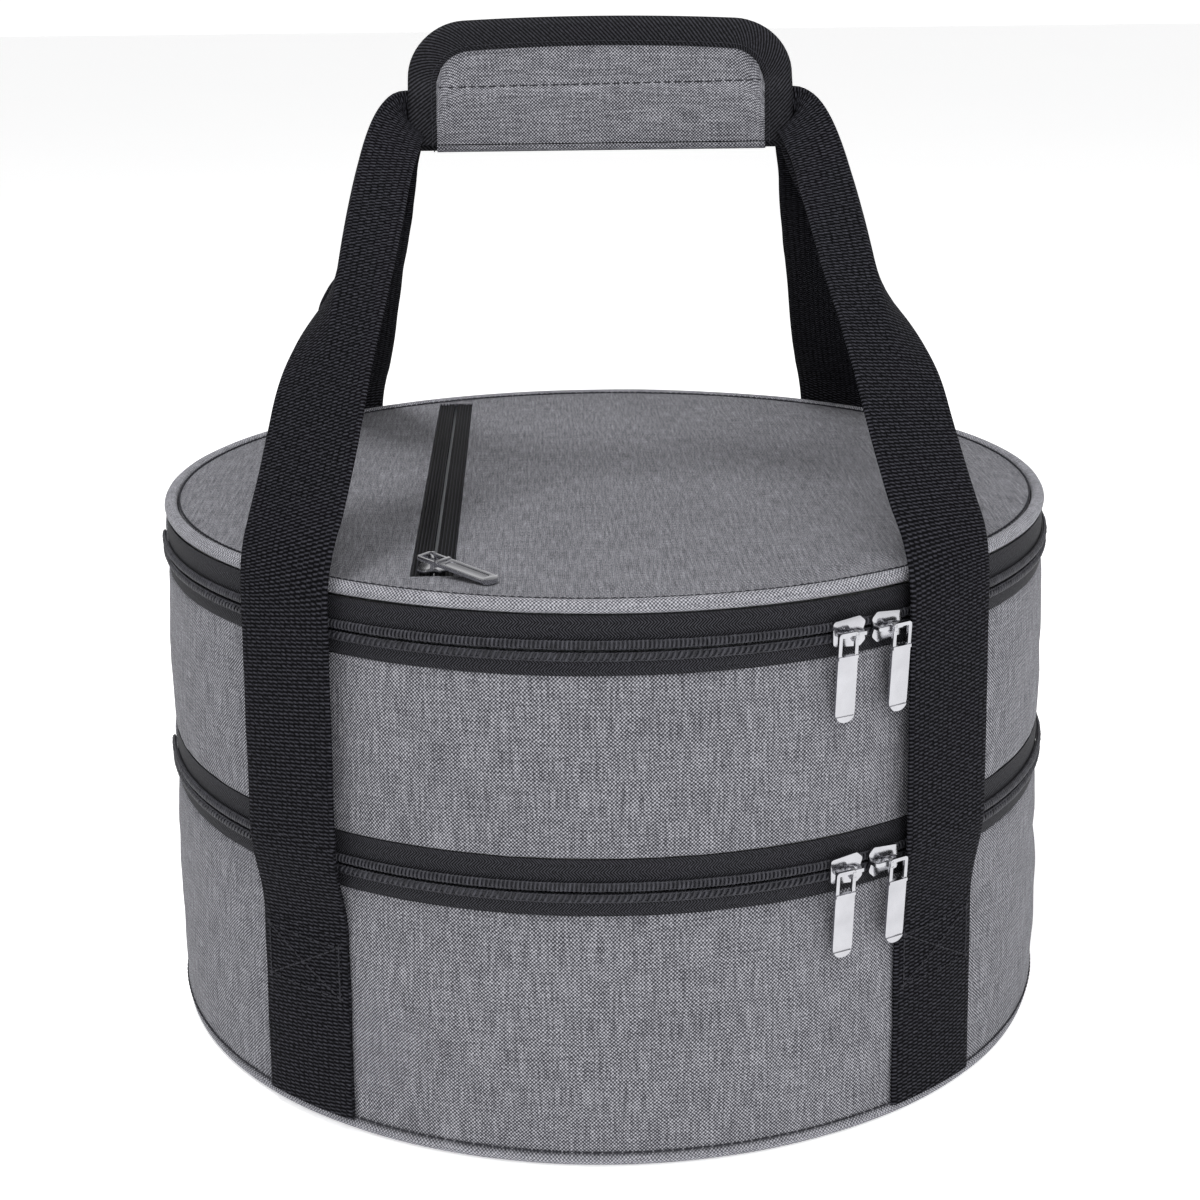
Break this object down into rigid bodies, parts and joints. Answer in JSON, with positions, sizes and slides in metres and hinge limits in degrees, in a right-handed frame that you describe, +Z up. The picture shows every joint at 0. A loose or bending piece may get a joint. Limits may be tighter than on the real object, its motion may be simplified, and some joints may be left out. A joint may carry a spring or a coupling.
{
  "type": "casserole carrier",
  "caption": "Round two-tier insulated food carrier with zipped tiers, a flat pocket in the lid, and two webbing handles joined by a padded wrap.",
  "frame": {"origin": "middle of the underside, on the surface that the carrier stands on", "axes": "+Z up; -Y towards the side that the handle wrap faces and where the closed zip sliders meet; +X to the right seen from there"},
  "size_m": [0.3228, 0.3238, 0.356],
  "materials": {
    "cloth": "mid grey heather polyester cloth, fine horizontal weave with darker and lighter threads, matt",
    "base_cloth": "the same grey cloth under the floor",
    "webbing": "black polypropylene webbing, close cross ribs, slight sheen",
    "binding": "black binding tape with diagonal ribs and a line of stitches",
    "zip_tape": "black woven zip tape, matt",
    "zip_coil": "black nylon zip coil, satin",
    "grip_tape": "black hook and loop tape",
    "chrome": "bright plated metal, lightly worn",
    "lining": "light grey wipe-clean film lining, satin",
    "foam": "white closed-cell foam",
    "board": "pale stiff plastic board"
  },
  "bodies": {
    "base": {"base_bottom_cloth": "base_cloth", "base_piping": "cloth", "base_board": "board", "base_floor_foam": "foam", "base_wall_cloth": "cloth", "base_wall_foam": "foam", "base_lining": "lining", "base_zip_tape": "zip_tape", "base_zip_coil": "zip_coil", "base_hinge_strip": "cloth", "front_strap_tail_left": "webbing", "front_strap_tail_right": "webbing", "back_strap_tail_left": "webbing", "back_strap_tail_right": "webbing"},
    "case": {"case_floor_cloth": "cloth", "case_board": "board", "case_floor_foam": "foam", "case_wall_cloth": "cloth", "case_wall_foam": "foam", "case_lining": "lining", "case_lower_zip_tape": "zip_tape", "case_lower_zip_coil": "zip_coil", "case_lower_hinge_strip": "cloth", "case_upper_zip_tape": "zip_tape", "case_upper_zip_coil": "zip_coil", "case_upper_hinge_strip": "cloth"},
    "lid": {"lid_panel": "cloth", "lid_welt": "cloth", "pocket_lining": "lining", "lid_foam": "foam", "lid_lining": "lining", "lid_zip_tape": "zip_tape", "lid_zip_coil": "zip_coil", "lid_hinge_strip": "cloth", "pocket_tape_left": "zip_tape", "pocket_tape_right": "zip_tape"},
    "front_root": {"front_strap_root_left": "webbing", "front_strap_root_right": "webbing"},
    "front_loop": {"front_strap": "webbing", "wrap_back_panel": "cloth", "wrap_back_binding": "binding", "wrap_loop_tape": "grip_tape"},
    "back_root": {"back_strap_root_left": "webbing", "back_strap_root_right": "webbing"},
    "back_loop": {"back_strap": "webbing"},
    "wrap_flap": {"wrap_flap_panel": "cloth", "wrap_flap_binding": "binding", "wrap_hook_tape": "grip_tape"},
    "lower_slider_left": {"lower_slider_left": "chrome"},
    "lower_slider_right": {"lower_slider_right": "chrome"},
    "upper_slider_left": {"upper_slider_left": "chrome"},
    "upper_slider_right": {"upper_slider_right": "chrome"},
    "lower_tab_left": {"lower_tab_left": "chrome"},
    "lower_tab_right": {"lower_tab_right": "chrome"},
    "upper_tab_left": {"upper_tab_left": "chrome"},
    "upper_tab_right": {"upper_tab_right": "chrome"},
    "pocket_slider": {"pocket_slider": "chrome"},
    "pocket_tab": {"pocket_tab": "chrome"}
  },
  "joints": [
    {"name": "case_hinge", "type": "hinge", "parent": "base", "child": "case", "pos_m": [-0.1564, 0.03467, 0.0935], "axis": [-0.2164, -0.9763, 0], "range_deg": [0, 45]},
    {"name": "lid_hinge", "type": "hinge", "parent": "case", "child": "lid", "pos_m": [-0.1564, 0.03467, 0.1715], "axis": [-0.2164, -0.9763, 0], "range_deg": [0, 90]},
    {"name": "front_root_fold", "type": "hinge", "parent": "base", "child": "front_root", "pos_m": [0, -0.123, 0.068], "axis": [1, 0, 0], "range_deg": [0, 75], "deforming": ["front_strap_root_left", "front_strap_root_right"]},
    {"name": "front_loop_fold", "type": "hinge", "parent": "front_root", "child": "front_loop", "pos_m": [0, -0.127, 0.1], "axis": [1, 0, 0], "range_deg": [0, 50], "deforming": ["front_strap"]},
    {"name": "back_root_fold", "type": "hinge", "parent": "base", "child": "back_root", "pos_m": [0, 0.123, 0.068], "axis": [-1, 0, 0], "range_deg": [0, 75], "deforming": ["back_strap_root_left", "back_strap_root_right"]},
    {"name": "back_loop_fold", "type": "hinge", "parent": "back_root", "child": "back_loop", "pos_m": [0, 0.127, 0.1], "axis": [-1, 0, 0], "range_deg": [0, 50], "deforming": ["back_strap"]},
    {"name": "flap_hinge", "type": "hinge", "parent": "front_loop", "child": "wrap_flap", "pos_m": [0, -0.0071, 0.3107], "axis": [1, 0, 0], "range_deg": [0, 110]},
    {"name": "lower_slider_left_run", "type": "hinge", "parent": "base", "child": "lower_slider_left", "pos_m": [0, 0, 0.0935], "axis": [0, 0, 1], "range_deg": [-105.5, 0]},
    {"name": "lower_tab_left_swing", "type": "hinge", "parent": "lower_slider_left", "child": "lower_tab_left", "pos_m": [0.07167, -0.14968, 0.0935], "axis": [0.9019, 0.4319, 0], "range_deg": [-100, 4]},
    {"name": "lower_slider_right_run", "type": "hinge", "parent": "base", "child": "lower_slider_right", "pos_m": [0, 0, 0.0935], "axis": [0, 0, 1], "range_deg": [0, 204]},
    {"name": "lower_tab_right_swing", "type": "hinge", "parent": "lower_slider_right", "child": "lower_tab_right", "pos_m": [0.08448, -0.14285, 0.0935], "axis": [0.8607, 0.509, 0], "range_deg": [-100, 4]},
    {"name": "upper_slider_left_run", "type": "hinge", "parent": "case", "child": "upper_slider_left", "pos_m": [0, 0, 0.1715], "axis": [0, 0, 1], "range_deg": [-105.5, 0]},
    {"name": "upper_tab_left_swing", "type": "hinge", "parent": "upper_slider_left", "child": "upper_tab_left", "pos_m": [0.07167, -0.14968, 0.1715], "axis": [0.9019, 0.4319, 0], "range_deg": [-100, 4]},
    {"name": "upper_slider_right_run", "type": "hinge", "parent": "case", "child": "upper_slider_right", "pos_m": [0, 0, 0.1715], "axis": [0, 0, 1], "range_deg": [0, 204]},
    {"name": "upper_tab_right_swing", "type": "hinge", "parent": "upper_slider_right", "child": "upper_tab_right", "pos_m": [0.08448, -0.14285, 0.1715], "axis": [0.8607, 0.509, 0], "range_deg": [-100, 4]},
    {"name": "pocket_slide", "type": "slide", "parent": "lid", "child": "pocket_slider", "axis": [0, 1, 0], "range_m": [0, 0.248]},
    {"name": "pocket_tab_flip", "type": "hinge", "parent": "pocket_slider", "child": "pocket_tab", "pos_m": [-0.059, -0.11805, 0.18956], "axis": [-0.6157, -0.788, 0], "range_deg": [0, 100]}
  ],
  "couplings": [
    {"joint": "front_root_fold", "follows": "lid_hinge", "ratio": 0.83333},
    {"joint": "back_root_fold", "follows": "lid_hinge", "ratio": 0.83333},
    {"joint": "front_loop_fold", "follows": "case_hinge", "ratio": 1.1111},
    {"joint": "back_loop_fold", "follows": "case_hinge", "ratio": 1.1111}
  ]
}
